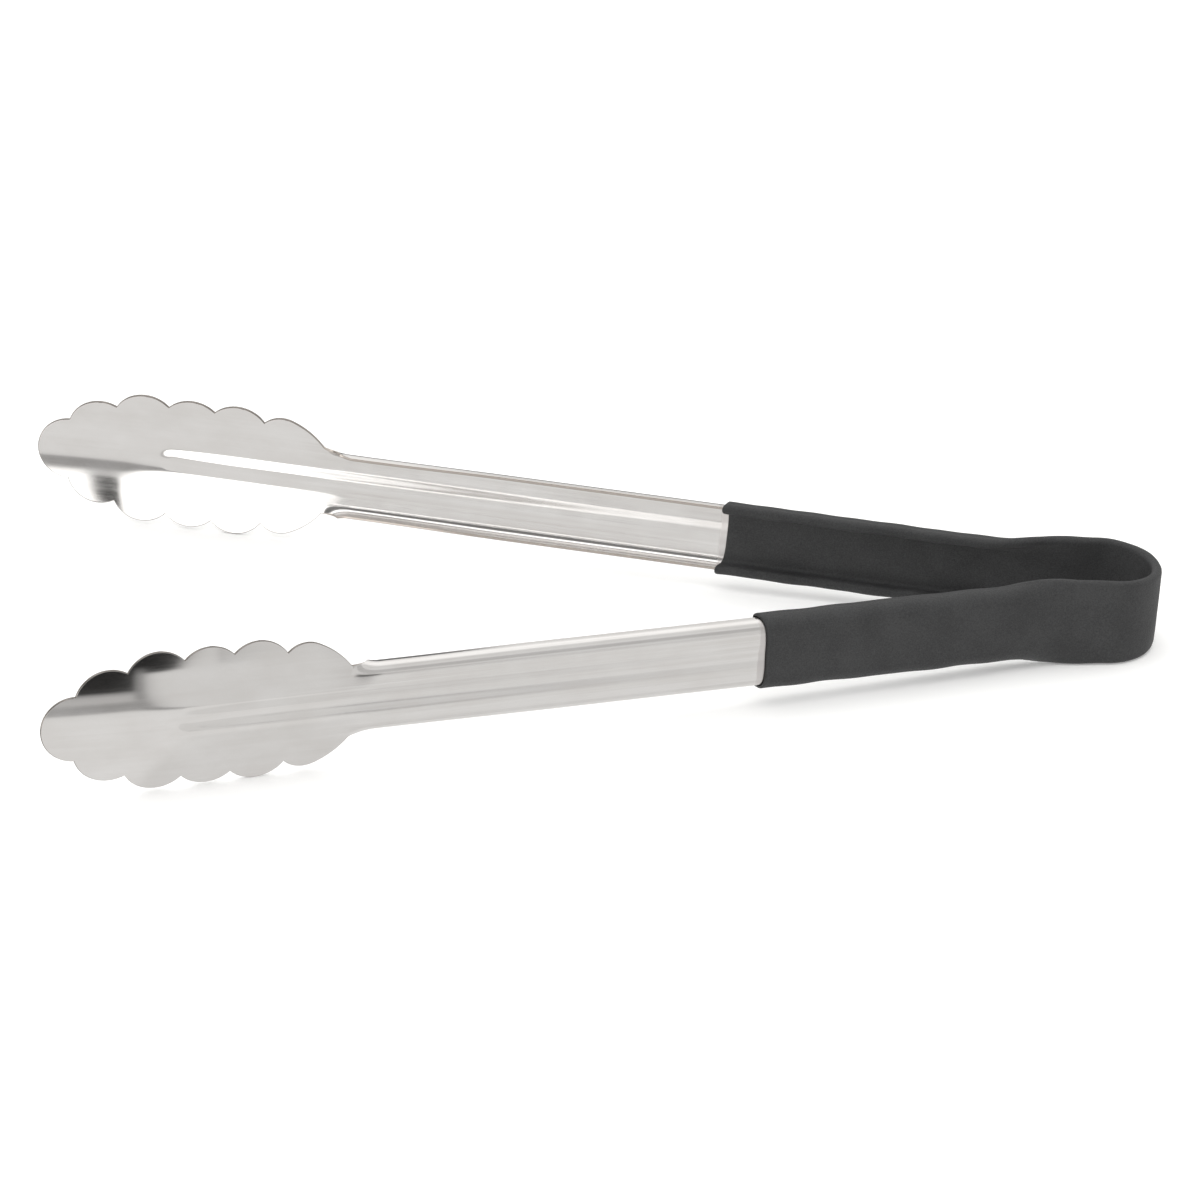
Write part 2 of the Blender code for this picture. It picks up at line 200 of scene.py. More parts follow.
def rib_rise(along, across):
    past_end = np.maximum(0.0, along - (RIB_END - RIB_NOSE * RIB_HALF)) / RIB_NOSE
    wall = 1.0 - smooth(np.hypot(past_end, across), RIB_FLAT, RIB_HALF)
    depth = RIB_SHALLOW + (1.0 - RIB_SHALLOW) * smooth(along, GRIP_END, PAD_START)
    depth = depth * (1.0 - (1.0 - RIB_END_SHARE) * smooth(along, RIB_END - RIB_END_RUN, RIB_END))
    return RIB_DEPTH * wall * depth * smooth(along, RIB_GONE, GRIP_END)


def dish_rise(along, across):
    """Inward rise of the pad's sides and tip: creased down the middle, and round near the tip."""
    bend = DISH_TO - DISH_FROM
    t = np.clip((across - DISH_FROM) / bend, 0.0, 1.0)
    creased = DISH_SLOPE * (0.5 * bend * t * t + np.maximum(0.0, across - DISH_TO))
    sides = creased + (0.5 * BOWL * across**2 - creased) * smooth(along, BOWL_FROM, BOWL_TO)
    sides = sides + 0.5 * LOBE_LIFT * np.maximum(0.0, across - LOBE_LIFT_FROM) ** 2
    tip = CURL * np.maximum(0.0, along - CURL_START) ** 2
    return sides * smooth(along, PAD_START - FOLD_RUN, PAD_START) + tip


def roll_marks(along, across):
    """Height of the waves that rolling and folding leave in the web."""
    waves = sum(
        height * np.sin(wave_across * across + wave_along * along + phase)
        for height, wave_across, wave_along, phase in ROLL_WAVES
    )
    left = 1.0 - ROLL_PRESSED * smooth(along, ROLL_PRESSED_FROM, ROLL_PRESSED_TO)
    return waves * left * smooth(along, ROLL_FROM, ROLL_FULL)


def middle(along, across, side):
    """Points of the sheet's middle surface, in the tongs' own frame."""
    angle = fold_angle(along)
    reach = np.abs(across)
    bent = np.clip((reach - WEB_HALF) / FOLD_LENGTH, 0.0, 1.0)
    turn = np.maximum(angle * bent, LEAST_TURN)
    chord = bent * FOLD_LENGTH / turn
    flange = np.maximum(0.0, reach - WEB_HALF - FOLD_LENGTH)
    height = np.minimum(reach, WEB_HALF) + chord * np.sin(turn) + flange * np.cos(turn)
    rise = chord * (1.0 - np.cos(turn)) + flange * np.sin(turn)
    rise = rise + dish_rise(along, reach) + rib_rise(along, reach) + roll_marks(along, across)
    point, inward = centreline(along, side)
    plan = point + inward * rise[..., None]
    return np.concatenate([plan, (np.sign(across) * height)[..., None]], -1)


def unit(vectors):
    return vectors / np.maximum(np.linalg.norm(vectors, axis=-1, keepdims=True), LEAST_LENGTH)


def surface(along, across, side):
    """Middle points, inward unit normals, and the unit directions along and across."""
    step = 2e-5
    run = unit(middle(along + step, across, side) - middle(along - step, across, side))
    over = unit(middle(along, across + step, side) - middle(along, across - step, side))
    return middle(along, across, side), unit(np.cross(run, over)) * -side, run, over


def tongs_frame():
    """Matrix from the tongs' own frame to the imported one, from where a hinge and its axis are."""
    joint = next(j for j in frame["joints"] if j["name"] == "far_arm_squeeze")
    up = Vector(joint["axis"]).normalized()
    turn = Matrix(((up.z, 0.0, up.x), (0.0, 1.0, 0.0), (-up.x, 0.0, up.z)))
    point, _ = centreline(np.array(HINGES[2]), 1.0)
    origin = Vector(joint["pos_m"]) - turn @ Vector((point[0], point[1], 0.0))
    return Matrix.Translation(origin) @ turn.to_4x4()


TO_WORLD = tongs_frame()
TURN = np.array(TO_WORLD.to_3x3())
ORIGIN = np.array(TO_WORLD.translation)


def arc(start, end, radius, steps):
    """Points after start, up to end, on the arc that bulges to the left of start to end."""
    chord = end - start
    length = np.linalg.norm(chord)
    out = np.array([-chord[1], chord[0]]) / length
    half = math.asin(length / (2.0 * radius))
    centre = (start + end) / 2 - out * radius * math.cos(half)
    turns = half * (2.0 * np.arange(1, steps + 1) / steps - 1.0)
    return centre + radius * (np.outer(np.cos(turns), out) + np.outer(np.sin(turns), chord / length))


def pad_edge():
    """Upper edge of the pad from its start to the tip, as (along, across)."""
    parts = [np.array([[PAD_START, PAD_START_HALF]])]
    parts.append(arc(parts[0][0], np.array(SHOULDER), SHOULDER_RADIUS, LOBE_STEPS))
    radius = FIRST_LOBE_RADIUS
    for cusp in CUSPS:
        parts.append(arc(parts[-1][-1], np.array(cusp), radius, LOBE_STEPS))
        radius = LOBE_RADIUS
    centre = np.array([TIP_LOBE_CENTRE, 0.0])
    spoke = parts[-1][-1] - centre
    turns = math.atan2(spoke[1], spoke[0]) * (1.0 - np.arange(1, LOBE_STEPS + 1) / LOBE_STEPS)
    parts.append(centre + np.linalg.norm(spoke) * np.stack([np.cos(turns), np.sin(turns)], -1))
    return np.concatenate(parts)


def plain_rows(first, last):
    """Roots on the middle line and upper edge points of mesh rows before the pad."""
    along = np.linspace(first, last, round((last - first) / ROW_PITCH) + 1)
    return np.stack([along, 0.0 * along], -1), np.stack([along, edge_half(along)], -1)


def arm_rows(first):
    """The same for a whole arm: plain rows, closer rows where the flanges unfold, then the pad's."""
    roots, edges = plain_rows(first, PAD_START - FOLD_RUN)
    left = (1.0 - np.linspace(0.0, 1.0, UNFOLDING_ROWS)[1:-1]) ** UNFOLDING_CROWD
    along = PAD_START - FOLD_RUN * left
    lobes = pad_edge()
    edges = np.concatenate([edges, np.stack([along, edge_half(along)], -1), lobes])
    axis = np.concatenate([roots[:, 0], along, np.minimum(lobes[:, 0], FAN_CENTRE)])
    return np.stack([axis, 0.0 * axis], -1), edges


def across_stops():
    """Distances from the middle line to the mesh lines of the rib, the web and the fold."""
    rib = np.concatenate([[0.0], np.linspace(RIB_FLAT, RIB_HALF, RIB_STOPS)])
    web = np.linspace(RIB_HALF, WEB_HALF, WEB_STOPS)[1:]
    fold = np.linspace(WEB_HALF, WEB_HALF + FOLD_LENGTH, FOLD_STOPS)[1:]
    return np.concatenate([rib, web, fold])


def upper_half(roots, edges, half, radius):
    """Flat places of every row's upper half loop, from the root on the inner face, round the edge, to the
    root on the outer face, with the height off the middle surface and the normal's outward and inward share.
    There is one half thickness and one radius of the edge's rounding for each row."""
    reach = np.linalg.norm(edges - roots, axis=1)[:, None]
    half, radius = half[:, None], radius[:, None]
    spoke = (edges - roots) / reach
    stops = across_stops()
    room = reach - radius
    inner = stops * np.minimum(1.0, (room - EDGE_ROOM) / stops[-1])
    outer = inner[:, -1:] + (room - inner[:, -1:]) * np.linspace(0.0, 1.0, EDGE_STOPS)[1:-1]
    face = np.concatenate([inner, outer], 1)
    turns = np.linspace(math.pi / 2, 0.0, RIM_STEPS)
    turns = np.concatenate([turns, -turns[::-1]])
    edge_height = np.repeat([1.0, -1.0], RIM_STEPS) * (half - radius)
    flat_share = np.ones_like(face)
    distance = np.concatenate([face, reach - radius * (1.0 - np.cos(turns)), face[:, ::-1]], 1)
    height = np.concatenate([half * flat_share, edge_height + radius * np.sin(turns), -half * flat_share], 1)
    rim = np.tile(turns, (len(reach), 1))
    outward = np.concatenate([0.0 * face, np.cos(rim), 0.0 * face], 1)
    inward = np.concatenate([flat_share, np.sin(rim), -flat_share], 1)
    return roots[:, None, :] + spoke[:, None, :] * distance[..., None], height, outward, inward


def outline_normals(edges):
    """Unit normals out of the strip's flat outline, as (along, across)."""
    run = np.gradient(edges, axis=0)
    if abs(edges[-1, 1]) < SAME_POINT:
        run[-1] = (0.0, -1.0)
    return unit(np.stack([-run[:, 1], run[:, 0]], -1))


def end_wave(across, side):
    """How far past GRIP_END the dipped skin runs, over the strip's width."""
    reach = np.abs(across) / WEB_HALF
    short = END_SHORT - END_SHORT_SIDE * side
    return END_HOLLOW * reach**3 - END_SLANT * side * across / WEB_HALF - short


def loops(roots, edges, half, radius, side, sway=None):
    """Points, normals, strip coordinates and rim shares of closed loops round the strip, one for a row.
    The sway is each row's share of end_wave."""
    flat, height, outward, inward = upper_half(roots, edges, half, radius)
    away = np.repeat(outline_normals(edges)[:, None, :], flat.shape[1], 1)
    mirror = np.array([1.0, -1.0])
    flat = np.concatenate([flat, (flat * mirror)[:, -2:0:-1]], 1)
    away = np.concatenate([away, (away * mirror)[:, -2:0:-1]], 1)
    height, outward, inward = (np.concatenate([a, a[:, -2:0:-1]], 1) for a in (height, outward, inward))
    if sway is not None:
        flat[..., 0] += sway[:, None] * end_wave(flat[..., 1], side)
    point, normal, run, over = surface(flat[..., 0], flat[..., 1], side)
    out = unit(run * away[..., :1] + over * away[..., 1:])
    points = point + normal * height[..., None]
    normals = unit(normal * inward[..., None] + out * outward[..., None])
    strip = np.concatenate([flat, np.sign(height)[..., None]], -1)
    return points, normals, strip, outward


def tube_faces(rows, count, start=0):
    """Quads between neighbouring loops."""
    row, k = (a.ravel() for a in np.meshgrid(np.arange(rows - 1), np.arange(count), indexing="ij"))
    after = (k + 1) % count
    corners = [row * count + k, (row + 1) * count + k, (row + 1) * count + after, row * count + after]
    return np.stack(corners, -1) + start


def ring_faces(first, second, count):
    """Quads between two loops whose points start at first and second."""
    k = np.arange(count)
    after = (k + 1) % count
    return np.stack([first + k, second + k, second + after, first + after], -1)


def cap_faces(start, count):
    """Quads over a loop's inside, each from the inner face to the outer one."""
    last = count // 2
    faces = []
    for j in range(last // 2):
        for corners in ((j, j + 1, last - j - 1, last - j), (-j, -j - 1, j + 1 - last, j - last)):
            faces.append([start + corner % count for corner in corners])
    return np.array(faces)


def build_mesh(name, points, normals, attributes, faces, flat_faces, finish):
    """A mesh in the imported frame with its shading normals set. The flat faces come as (faces, normals)."""
    rounded = np.round(points / SAME_POINT).astype(np.int64)
    _, first, index = np.unique(rounded, axis=0, return_index=True, return_inverse=True)
    points, normals, index = points[first], normals[first], index.reshape(-1)
    corners = np.concatenate([index[faces], index[flat_faces[0]]])
    wanted = np.concatenate([normals[index[faces]].sum(1), flat_faces[1]])
    at = points[corners]
    facing = np.cross(at[:, 2] - at[:, 0], at[:, 3] - at[:, 1])
    turned = (facing * wanted).sum(-1) < 0.0
    corners[turned] = corners[turned][:, ::-1]
    polygons = [list(dict.fromkeys(face)) for face in corners.tolist()]
    smooth_ones = len(faces)
    kept = [(face, k < smooth_ones) for k, face in enumerate(polygons) if len(face) > 2]
    mesh = bpy.data.meshes.new(name)
    mesh.from_pydata(to_world(points).tolist(), [], [face for face, _ in kept])
    made = bpy.data.objects.new(name, mesh)
    bpy.context.scene.collection.objects.link(made)
    mesh.shade_smooth()
    for key, values in attributes.items():
        kind, field = ("FLOAT_VECTOR", "vector") if values.ndim == 2 else ("FLOAT", "value")
        layer = mesh.attributes.new(key, kind, "POINT")
        layer.data.foreach_set(field, values[first].astype(np.float32).ravel())
    mesh.update()
    vertex = np.zeros(len(mesh.loops), np.int32)
    mesh.loops.foreach_get("vertex_index", vertex)
    given = (normals @ TURN.T)[vertex]
    own = np.zeros(len(mesh.polygons) * 3, np.float32)
    mesh.polygons.foreach_get("normal", own)
    sizes = [len(face) for face, _ in kept]
    is_flat = np.repeat([not is_smooth for _, is_smooth in kept], sizes)
    given[is_flat] = np.repeat(own.reshape(-1, 3), sizes, axis=0)[is_flat]
    mesh.normals_split_custom_set(given.tolist())
    mesh.materials.append(finish)
    return made


def to_world(points):
    return points @ TURN.T + ORIGIN


def strip_piece(name, side, roots, edges, capped, finish):
    """A length of the steel strip, as a closed sheet with rounded edges."""
    rows = len(roots)
    thick = np.full(rows, STEEL / 2)
    points, normals, strip, rim = loops(roots, edges, thick, np.full(rows, EDGE_ROUND), side)
    count = points.shape[1]
    caps, cap_normals = [], []
    for row, neighbour in capped:
        faces = cap_faces(row % rows * count, count)
        caps.append(faces)
        cap_normals.append(np.tile(points[row, 0] - points[neighbour, 0], (len(faces), 1)))
    attributes = {
        "strip": strip.reshape(-1, 3),
        "rest": points.reshape(-1, 3),
        "rim": rim.reshape(-1),
        "side": np.full(rows * count, side),
    }
    return build_mesh(
        name,
        points.reshape(-1, 3),
        normals.reshape(-1, 3),
        attributes,
        tube_faces(rows, count),
        (np.concatenate(caps), np.concatenate(cap_normals)),
        finish,
    )


def lump(points):
    """Height and slope of the dipped skin's unevenness at points of the tongs' own frame."""
    height = np.zeros(points.shape[:-1])
    slope = np.zeros_like(points)
    for wave, phase, size in LUMPS:
        angle = points @ np.array(wave) + phase
        height += size * np.sin(angle)
        slope += size * np.cos(angle)[..., None] * np.array(wave)
    return height, slope


def vinyl_piece(name, side, roots, edges, lip, finish):
    """A length of the dipped skin, as a tube with a wall. A lip rounds its far end."""
    wall = VINYL_OUTER - VINYL_INNER
    turns = np.linspace(0.0, math.pi / 2, LIP_STEPS + 1)[1:]
    if lip:
        along = roots[-1, 0] + wall * np.sin(turns)
        roots = np.concatenate([roots, np.stack([along, 0.0 * along], -1)])
        edges = np.concatenate([edges, np.stack([along, edge_half(along)], -1)])
    rows = len(roots)
    outer = np.full(rows, VINYL_OUTER)
    if lip:
        outer[-LIP_STEPS:] = VINYL_INNER + wall * np.cos(turns)
    inner = np.full(rows, VINYL_INNER)
    grown = np.array([0.0, 1.0])
    sway = smooth(roots[:, 0], GRIP_END - END_RUN, GRIP_END) if lip else np.zeros(rows)
    points, normals, _, _ = loops(roots, edges + outer[:, None] * grown, outer, outer, side, sway)
    lining, lining_normals, _, _ = loops(roots, edges + inner[:, None] * grown, inner, inner, side, sway)
    height, slope = lump(points)
    fade = np.clip((outer - VINYL_INNER) / wall, 0.0, 1.0)[:, None, None]
    slope = slope - (slope * normals).sum(-1, keepdims=True) * normals
    points = points + normals * height[..., None] * fade
    normals = unit(normals - slope * fade)
    if lip:
        lean = np.concatenate([np.zeros(rows - LIP_STEPS), np.sin(turns)])[:, None, None]
        normals = unit(normals * (1.0 - lean) + direction(roots[-1, 0], side) * lean)
    count = points.shape[1]
    inside = rows * count
    everything = np.concatenate([points.reshape(-1, 3), lining.reshape(-1, 3)])
    all_normals = np.concatenate([normals.reshape(-1, 3), -lining_normals.reshape(-1, 3)])
    faces = np.concatenate([tube_faces(rows, count), tube_faces(rows, count, inside)])
    if lip:
        faces = np.concatenate([faces, ring_faces(inside - count, 2 * inside - count, count)])
        flat_rows = [(0, 1)]
    else:
        flat_rows = [(0, 1), (rows - 1, rows - 2)]
    caps, cap_normals = [], []
    for row, neighbour in flat_rows:
        ring = ring_faces(row * count, inside + row * count, count)
        caps.append(ring)
        cap_normals.append(np.tile(points[row, 0] - points[neighbour, 0], (len(ring), 1)))
    attributes = {"rest": everything, "side": np.full(2 * inside, side)}
    return build_mesh(
        name,
        everything,
        all_normals,
        attributes,
        faces,
        (np.concatenate(caps), np.concatenate(cap_normals)),
        finish,
    )


def direction(along, side):
    """Unit direction down the strip, in the tongs' own frame."""
    step = 1e-5
    plan, _ = centreline(np.array([along - step, along + step]), side)
    return unit(np.append(plan[1] - plan[0], 0.0))


class Nodes:
    """Makes the nodes of one node tree and links them."""

    def __init__(self, tree):
        self.tree = tree
        tree.nodes.clear()

    def add(self, kind, inputs=(), **settings):
        node = self.tree.nodes.new(kind)
        for key, value in settings.items():
            setattr(node, key, value)
        for key, value in dict(inputs).items():
            if isinstance(value, bpy.types.NodeSocket):
                self.tree.links.new(value, node.inputs[key])
            else:
                node.inputs[key].default_value = value
        return node

    def math(self, operation, first, second=0.0, third=0.0):
        return self.add("ShaderNodeMath", {0: first, 1: second, 2: third}, operation=operation).outputs[0]

    def step(self, value, low, high):
        """0 below low, 1 above high, smooth between."""
        inputs = {"Value": value, "From Min": low, "From Max": high}
        return self.add("ShaderNodeMapRange", inputs, interpolation_type="SMOOTHSTEP").outputs["Result"]

    def between(self, value, limits, soft):
        """1 between two limits, 0 outside them, with smooth edges."""
        low, high = limits
        fall = self.math("SUBTRACT", 1.0, self.step(value, high - soft, high + soft))
        return self.math("MULTIPLY", self.step(value, low - soft, low + soft), fall)

    def ramp(self, value, low, high, to_low, to_high):
        """Straight ramp, held outside its limits."""
        inputs = {"Value": value, "From Min": low, "From Max": high, "To Min": to_low, "To Max": to_high}
        return self.add("ShaderNodeMapRange", inputs).outputs["Result"]

    def scaled(self, vector, scale):
        node = self.add("ShaderNodeVectorMath", {0: vector, 1: scale}, operation="MULTIPLY")
        return node.outputs["Vector"]

    def noise(self, vector, scale, detail=2.0, roughness=0.5):
        inputs = {"Vector": vector, "Scale": scale, "Detail": detail, "Roughness": roughness}
        return self.add("ShaderNodeTexNoise", inputs).outputs["Fac"]

    def difference(self, first, second):
        return self.math("SUBTRACT", first, second)

    def product(self, first, second):
        return self.math("MULTIPLY", first, second)

    def total(self, first, second):
        return self.math("ADD", first, second)

    def mix(self, factor, first, second):
        """Colour mix."""
        node = self.add("ShaderNodeMix", data_type="RGBA")
        for key, value in (("Factor_Float", factor), ("A_Color", first), ("B_Color", second)):
            socket = next(s for s in node.inputs if s.identifier == key)
            if isinstance(value, bpy.types.NodeSocket):
                self.tree.links.new(value, socket)
            else:
                socket.default_value = value
        return next(s for s in node.outputs if s.identifier == "Result_Color")

    def blend(self, factor, first, second):
        """Float mix."""
        inputs = {"Factor": factor, "A": first, "B": second}
        return self.add("ShaderNodeMix", inputs, data_type="FLOAT").outputs["Result"]


def new_material(name):
    made = bpy.data.materials.new(name)
    made.use_nodes = True
    return made, Nodes(made.node_tree)


# Steel's noise, in cycles per metre along and across and per layer; no two of the four faces share a layer
LINES, BANDS, SMUDGES = (14.0, 2600.0, 5.0), (9.0, 420.0, 5.0), (70.0, 110.0, 5.0)
SIDE_LAYER, FACE_LAYER = 3.1, 0.7
STEEL_DULL, STEEL_CLEAR = (0.600, 0.582, 0.566, 1.0), (0.668, 0.656, 0.646, 1.0)
STEEL_PRIMED = (0.50, 0.47, 0.46, 1.0)
TONE_SPAN = 0.22  # the unevenness that takes the colour from its mean to clear or dull
POLISHED_STREAKS = 0.3  # share of the arms' streaks that the pads keep
# Painted shade on the stamped edges: brownish dark colours that draw the edges as dark outlines, darkest on
# the pads
ARM_EDGE_SHADE, PAD_EDGE_SHADE = (0.40, 0.36, 0.325, 1.0), (0.17, 0.15, 0.135, 1.0)
RIM_FROM, RIM_TO, RIM_SHADE_SHARE = 0.05, 0.5, 0.9
POLISHED_FROM, POLISHED_TO = PAD_START - 0.006, PAD_START + 0.012
SATIN, POLISHED = 0.19, 0.075  # roughness of the arms and of the pads
SATIN_VARIES, POLISHED_VARIES, LINES_VARY, PRIMER_ROUGH = 0.10, 0.05, 0.06, 0.12
LINE_HEIGHT, BAND_HEIGHT = 0.0000016, 0.0000070
POLISHED_BUMP, FOLD_BUMP = 0.08, 0.15  # shares of the arms' bump that the pads and the folds keep
FOLD_BUMP_RUN = 0.001
PRIMER_RUN, PRIMER_WAVE, PRIMER_SOFT, PRIMER_TINT = 0.0021, 0.0012, 0.0002, 0.45


def steel_material():
    """Rolled stainless: polished pads, satin arms with fine lines, smudges, and primer by the grip."""
    made, n = new_material("stainless_steel")
    strip = n.add("ShaderNodeAttribute", attribute_name="strip").outputs["Vector"]
    side = n.add("ShaderNodeAttribute", attribute_name="side").outputs["Fac"]
    rim = n.add("ShaderNodeAttribute", attribute_name="rim").outputs["Fac"]
    along, across, face = n.add("ShaderNodeSeparateXYZ", {0: strip}).outputs
    layer = n.math("MULTIPLY_ADD", side, SIDE_LAYER, n.product(face, FACE_LAYER))
    apart = n.add("ShaderNodeCombineXYZ", {"X": along, "Y": across, "Z": layer}).outputs[0]
    lines = n.noise(n.scaled(apart, LINES), 1.0, 4.0, 0.6)
    bands = n.noise(n.scaled(apart, BANDS), 1.0, 2.0, 0.5)
    smudges = n.noise(n.scaled(apart, SMUDGES), 1.0, 3.0, 0.55)
    smudged = n.difference(smudges, 0.5)
    on_pad = n.step(along, POLISHED_FROM, POLISHED_TO)

    streaked = n.difference(n.blend(0.5, lines, bands), 0.5)
    streaks = n.product(streaked, n.blend(on_pad, 1.0, POLISHED_STREAKS))
    tone = n.total(streaks, n.product(smudged, 0.5))
    colour = n.mix(n.step(tone, -TONE_SPAN, TONE_SPAN), STEEL_DULL, STEEL_CLEAR)
    primer_run = n.math("MULTIPLY_ADD", side, END_SHORT_SIDE, GRIP_END - END_SHORT + PRIMER_RUN)
    primer_end = n.math("MULTIPLY_ADD", smudges, PRIMER_WAVE, primer_run)
    primer = n.difference(1.0, n.step(n.difference(along, primer_end), -PRIMER_SOFT, PRIMER_SOFT))
    colour = n.mix(n.product(primer, PRIMER_TINT), colour, STEEL_PRIMED)
    # painted shade: the edges' rounding is darkened towards the painted edge shade, from a small outward
    # share of the normal on
    edge = n.product(n.step(rim, RIM_FROM, RIM_TO), RIM_SHADE_SHARE)
    colour = n.mix(edge, colour, n.mix(on_pad, ARM_EDGE_SHADE, PAD_EDGE_SHADE))

    finish = n.blend(on_pad, SATIN, POLISHED)
    rough = n.math("MULTIPLY_ADD", smudged, n.blend(on_pad, SATIN_VARIES, POLISHED_VARIES), finish)
    rough = n.total(rough, n.product(n.difference(lines, 0.5), LINES_VARY))
    rough = n.total(rough, n.product(primer, PRIMER_ROUGH))

    in_fold = n.step(n.math("ABSOLUTE", across), WEB_HALF, WEB_HALF + FOLD_BUMP_RUN)
    weight = n.product(n.blend(on_pad, 1.0, POLISHED_BUMP), n.blend(in_fold, 1.0, FOLD_BUMP))
    height = n.total(n.product(lines, LINE_HEIGHT), n.product(bands, BAND_HEIGHT))
    bump = n.add("ShaderNodeBump", {"Strength": 1.0, "Distance": 1.0, "Height": n.product(height, weight)})
    shader = n.add(
        "ShaderNodeBsdfPrincipled",
        {"Base Color": colour, "Metallic": 1.0, "Roughness": rough, "Normal": bump.outputs["Normal"]},
    )
    n.add("ShaderNodeOutputMaterial", {"Surface": shader.outputs[0]})
    return made


GRAIN, FINE, SOFT, SPECKLE, SCUFFS = 1500.0, 4200.0, 90.0, 2900.0, (160.0, 900.0, 900.0)  # per metre
VINYL_DARK, VINYL_PALE = (0.0235, 0.0240, 0.0248, 1.0), (0.0460, 0.0465, 0.0475, 1.0)
VINYL_WORN, WEAR = (0.07, 0.07, 0.07, 1.0), 0.25
VINYL_ROUGH = (0.56, 0.72)
VINYL_SHINE = 0.36
GRAIN_HEIGHT, FINE_HEIGHT, GRAIN_STRENGTH = 0.00020, 0.00003, 0.8


def vinyl_material():
    """Charcoal dip-moulded vinyl: matt, with a fine leathery grain and faint scuffs."""
    made, n = new_material("grip_vinyl")
    rest = n.add("ShaderNodeAttribute", attribute_name="rest").outputs["Vector"]
    grain = n.noise(rest, GRAIN, 3.0, 0.6)
    fine = n.noise(rest, FINE, 2.0, 0.5)
    soft = n.noise(rest, SOFT, 3.0, 0.5)
    speckle = n.noise(rest, SPECKLE, 1.0, 0.5)
    scuffs = n.noise(n.scaled(rest, SCUFFS), 1.0, 4.0, 0.6)
    colour = n.mix(n.step(n.blend(0.6, soft, speckle), 0.3, 0.7), VINYL_DARK, VINYL_PALE)
    colour = n.mix(n.product(n.step(scuffs, 0.66, 0.78), WEAR), colour, VINYL_WORN)
    rough = n.ramp(n.blend(0.5, grain, soft), 0.3, 0.7, *VINYL_ROUGH)
    height = n.total(n.product(grain, GRAIN_HEIGHT), n.product(fine, FINE_HEIGHT))
    bump = n.add("ShaderNodeBump", {"Strength": GRAIN_STRENGTH, "Distance": 1.0, "Height": height})
    shader = n.add(
        "ShaderNodeBsdfPrincipled",
        {
            "Base Color": colour,
            "Roughness": rough,
            "Specular IOR Level": VINYL_SHINE,
            "Normal": bump.outputs["Normal"],
        },
    )
    n.add("ShaderNodeOutputMaterial", {"Surface": shader.outputs[0]})
    return made


STUDIO = (  # (azimuths, elevations, azimuth and elevation softness, radiance), in degrees
    ((-95, 8), (-20.5, 40), 4.0, 0.5, 0.74),  # the viewer's side, above the table's edge
    ((8, 95), (-22.5, 40), 2.0, 0.7, 0.70),
    ((-100, 8), (46, 100), 8.0, 6.0, 2.10),  # soft boxes over the left and the right
    ((10, 95), (48, 100), 8.0, 6.0, 0.95),
    ((-75, -10), (16, 56), 5.0, 2.0, 0.25),  # shade under the left one
    ((-29, -10), (-20.7, -16.5), 1.0, 0.5, 0.45),  # shade under the low wall
    ((-75, -9), (-17.2, 12.5), 2.5, 0.8, 2.40),  # low bright wall
    ((-24.0, -21.6), (-17.0, 12), 0.3, 0.9, 0.0),  # its stand
    ((29, 70), (-22.5, 12), 1.5, 0.7, 0.94),  # low pale wall on the right
    ((12, 31), (-23.0, -21.2), 2.0, 0.5, 0.40),  # shade at the table's edge
    ((19.5, 32.2), (-11.5, -1), 0.7, 0.6, 0.03),  # black flags and the gap between them
    ((19.5, 26.8), (-18.3, -8), 0.6, 0.6, 0.03),
    ((26.6, 28.0), (-21, -9), 0.7, 1.5, 0.35),
    ((33, 70), (-70, -38), 2.0, 3.0, 0.94),  # duller floor on the right
    ((150, 190), (-6, 20), 4.0, 1.0, 0.18),  # dark doorway at the back
)
STUDIO_WHITE = (1.0, 0.995, 0.985, 1.0)
FLOOR_SHINE = 1.03
FLOOR_RISE = (-30.0, -6.0)  # elevations between which the floor gives way to the walls
BACK_WALL, CEILING = 1.12, 1.45
CEILING_RISE = (34.0, 46.0)
BACK_SOFT = 0.25


def studio():
    """World of soft boxes and gaps between them, which is what the bright steel mirrors."""
    world = bpy.data.worlds.new("studio")
    bpy.context.scene.world = world
    world.use_nodes = True
    n = Nodes(world.node_tree)
    x, y, z = n.add(
        "ShaderNodeSeparateXYZ", {0: n.add("ShaderNodeTexCoord").outputs["Generated"]}
    ).outputs
    azimuth = n.math("DEGREES", n.math("ARCTAN2", x, n.product(y, -1.0)))
    elevation = n.math("DEGREES", n.math("ARCSINE", z))
    in_front = n.difference(1.0, n.step(y, -BACK_SOFT, BACK_SOFT))
    back = n.blend(n.step(elevation, *CEILING_RISE), BACK_WALL, CEILING)
    glow = n.blend(in_front, back, FLOOR_SHINE)
    glow = n.blend(n.step(elevation, *FLOOR_RISE), FLOOR_SHINE, glow)
    for azimuths, elevations, soft_across, soft_up, radiance in STUDIO:
        here = n.between(azimuth, azimuths, soft_across)
        glow = n.blend(n.product(here, n.between(elevation, elevations, soft_up)), glow, radiance)
    background = n.add("ShaderNodeBackground", {"Color": STUDIO_WHITE, "Strength": glow})
    n.add("ShaderNodeOutputWorld", {"Surface": background.outputs[0]})


FLOOR_REACH = 3.0
FLOOR_PALE, FLOOR_PALER = (0.88, 0.88, 0.875, 1.0), (0.90, 0.90, 0.895, 1.0)
FLOOR_ROUGH, FLOOR_GLOW, FLOOR_SPOTS = 0.9, 0.22, 40.0


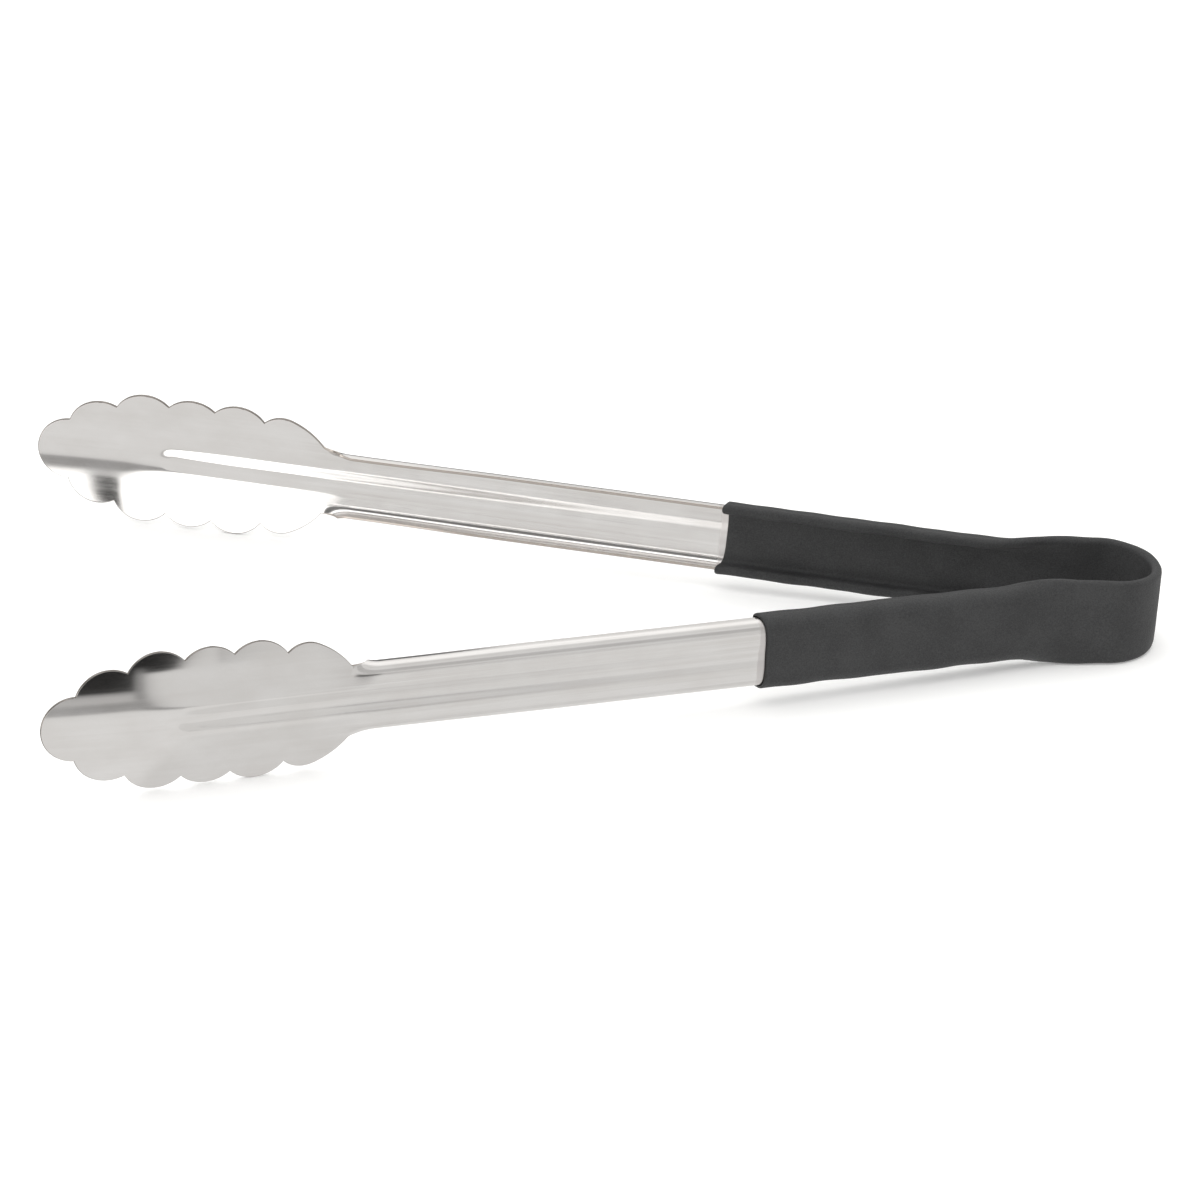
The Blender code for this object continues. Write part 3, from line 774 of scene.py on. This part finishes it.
def floor():
    """A wide pale floor. The steel mirrors the studio instead of it."""
    mesh = bpy.data.meshes.new("floor")
    signs = ((-1, -1), (1, -1), (1, 1), (-1, 1))
    mesh.from_pydata([(x * FLOOR_REACH, y * FLOOR_REACH, 0.0) for x, y in signs], [], [(0, 1, 2, 3)])
    made = bpy.data.objects.new("floor", mesh)
    bpy.context.scene.collection.objects.link(made)
    paint, n = new_material("floor_paint")
    spots = n.noise(n.add("ShaderNodeTexCoord").outputs["Object"], FLOOR_SPOTS, 4.0)
    colour = n.mix(spots, FLOOR_PALE, FLOOR_PALER)
    shader = n.add(
        "ShaderNodeBsdfPrincipled",
        {
            "Base Color": colour,
            "Roughness": FLOOR_ROUGH,
            "Emission Color": colour,
            "Emission Strength": FLOOR_GLOW,
        },
    )
    n.add("ShaderNodeOutputMaterial", {"Surface": shader.outputs[0]})
    mesh.materials.append(paint)
    made.visible_glossy = False


def soft_light(name, place, size, power):
    """A square area light that faces the tongs and isn't mirrored."""
    lamp = bpy.data.lights.new(name, "AREA")
    lamp.shape = "SQUARE"
    lamp.size = size
    lamp.energy = power
    made = bpy.data.objects.new(name, lamp)
    bpy.context.scene.collection.objects.link(made)
    made.location = place
    made.rotation_euler = (-Vector(place)).to_track_quat("-Z", "Y").to_euler()
    made.visible_glossy = False
    return made


def camera():
    """The camera that the photograph was taken with, placed in the tongs' own frame."""
    lens = bpy.data.cameras.new("camera")
    lens.lens, lens.sensor_width = CAMERA_LENS, CAMERA_SENSOR
    lens.clip_start, lens.clip_end = CAMERA_CLIP
    made = bpy.data.objects.new("camera", lens)
    bpy.context.scene.collection.objects.link(made)
    flat = math.cos(CAMERA_ELEVATION)
    back = Vector(
        (math.sin(CAMERA_AZIMUTH) * flat, -math.cos(CAMERA_AZIMUTH) * flat, math.sin(CAMERA_ELEVATION))
    )
    right = (-back).cross(Vector((0.0, 0.0, 1.0))).normalized()
    up = right.cross(-back)
    level = Matrix((right, up, back)).transposed()
    turned = level @ Matrix.Rotation(CAMERA_ROLL, 3, "Z")
    place = Matrix.Translation(CAMERA_TARGET + back * CAMERA_DISTANCE) @ turned.to_4x4()
    made.matrix_world = TO_WORLD @ place
    bpy.context.scene.camera = made


def build_side(word, side, steel, vinyl):
    """The strip and skin of one side, cut between the hinges."""
    stands_for = [
        ("spring_crown", "grip_crown"),
        (f"{word}_spring_link_1", f"{word}_grip_link_1"),
        (f"{word}_spring_link_2", f"{word}_grip_link_2"),
    ]
    for k, first in enumerate(SEAMS):
        if k < 2:
            rows = plain_rows(first, SEAMS[k + 1])
            strip = strip_piece(f"{word}_strip_bow_{k + 1}", side, *rows, [(0, 1), (-1, -2)], steel)
            skin = vinyl_piece(f"{word}_vinyl_bow_{k + 1}", side, *rows, False, vinyl)
        else:
            strip = strip_piece(f"{word}_strip_arm", side, *arm_rows(first), [(0, 1)], steel)
            skin = vinyl_piece(f"{word}_vinyl_handle", side, *plain_rows(first, GRIP_END), True, vinyl)
            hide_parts(f"{word}_arm")
            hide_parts(f"{word}_grip")
        for piece, node, slot in ((strip, stands_for[k][0], "steel"), (skin, stands_for[k][1], "vinyl")):
            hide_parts(node)
            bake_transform(piece)


bpy.context.scene.view_settings.view_transform = "Standard"
steel = steel_material()
vinyl = vinyl_material()
build_side("near", -1.0, steel, vinyl)
build_side("far", 1.0, steel, vinyl)
studio()
floor()
soft_light("overhead", place=(-0.2, -0.3, 1.6), size=1.8, power=6.0)
camera()
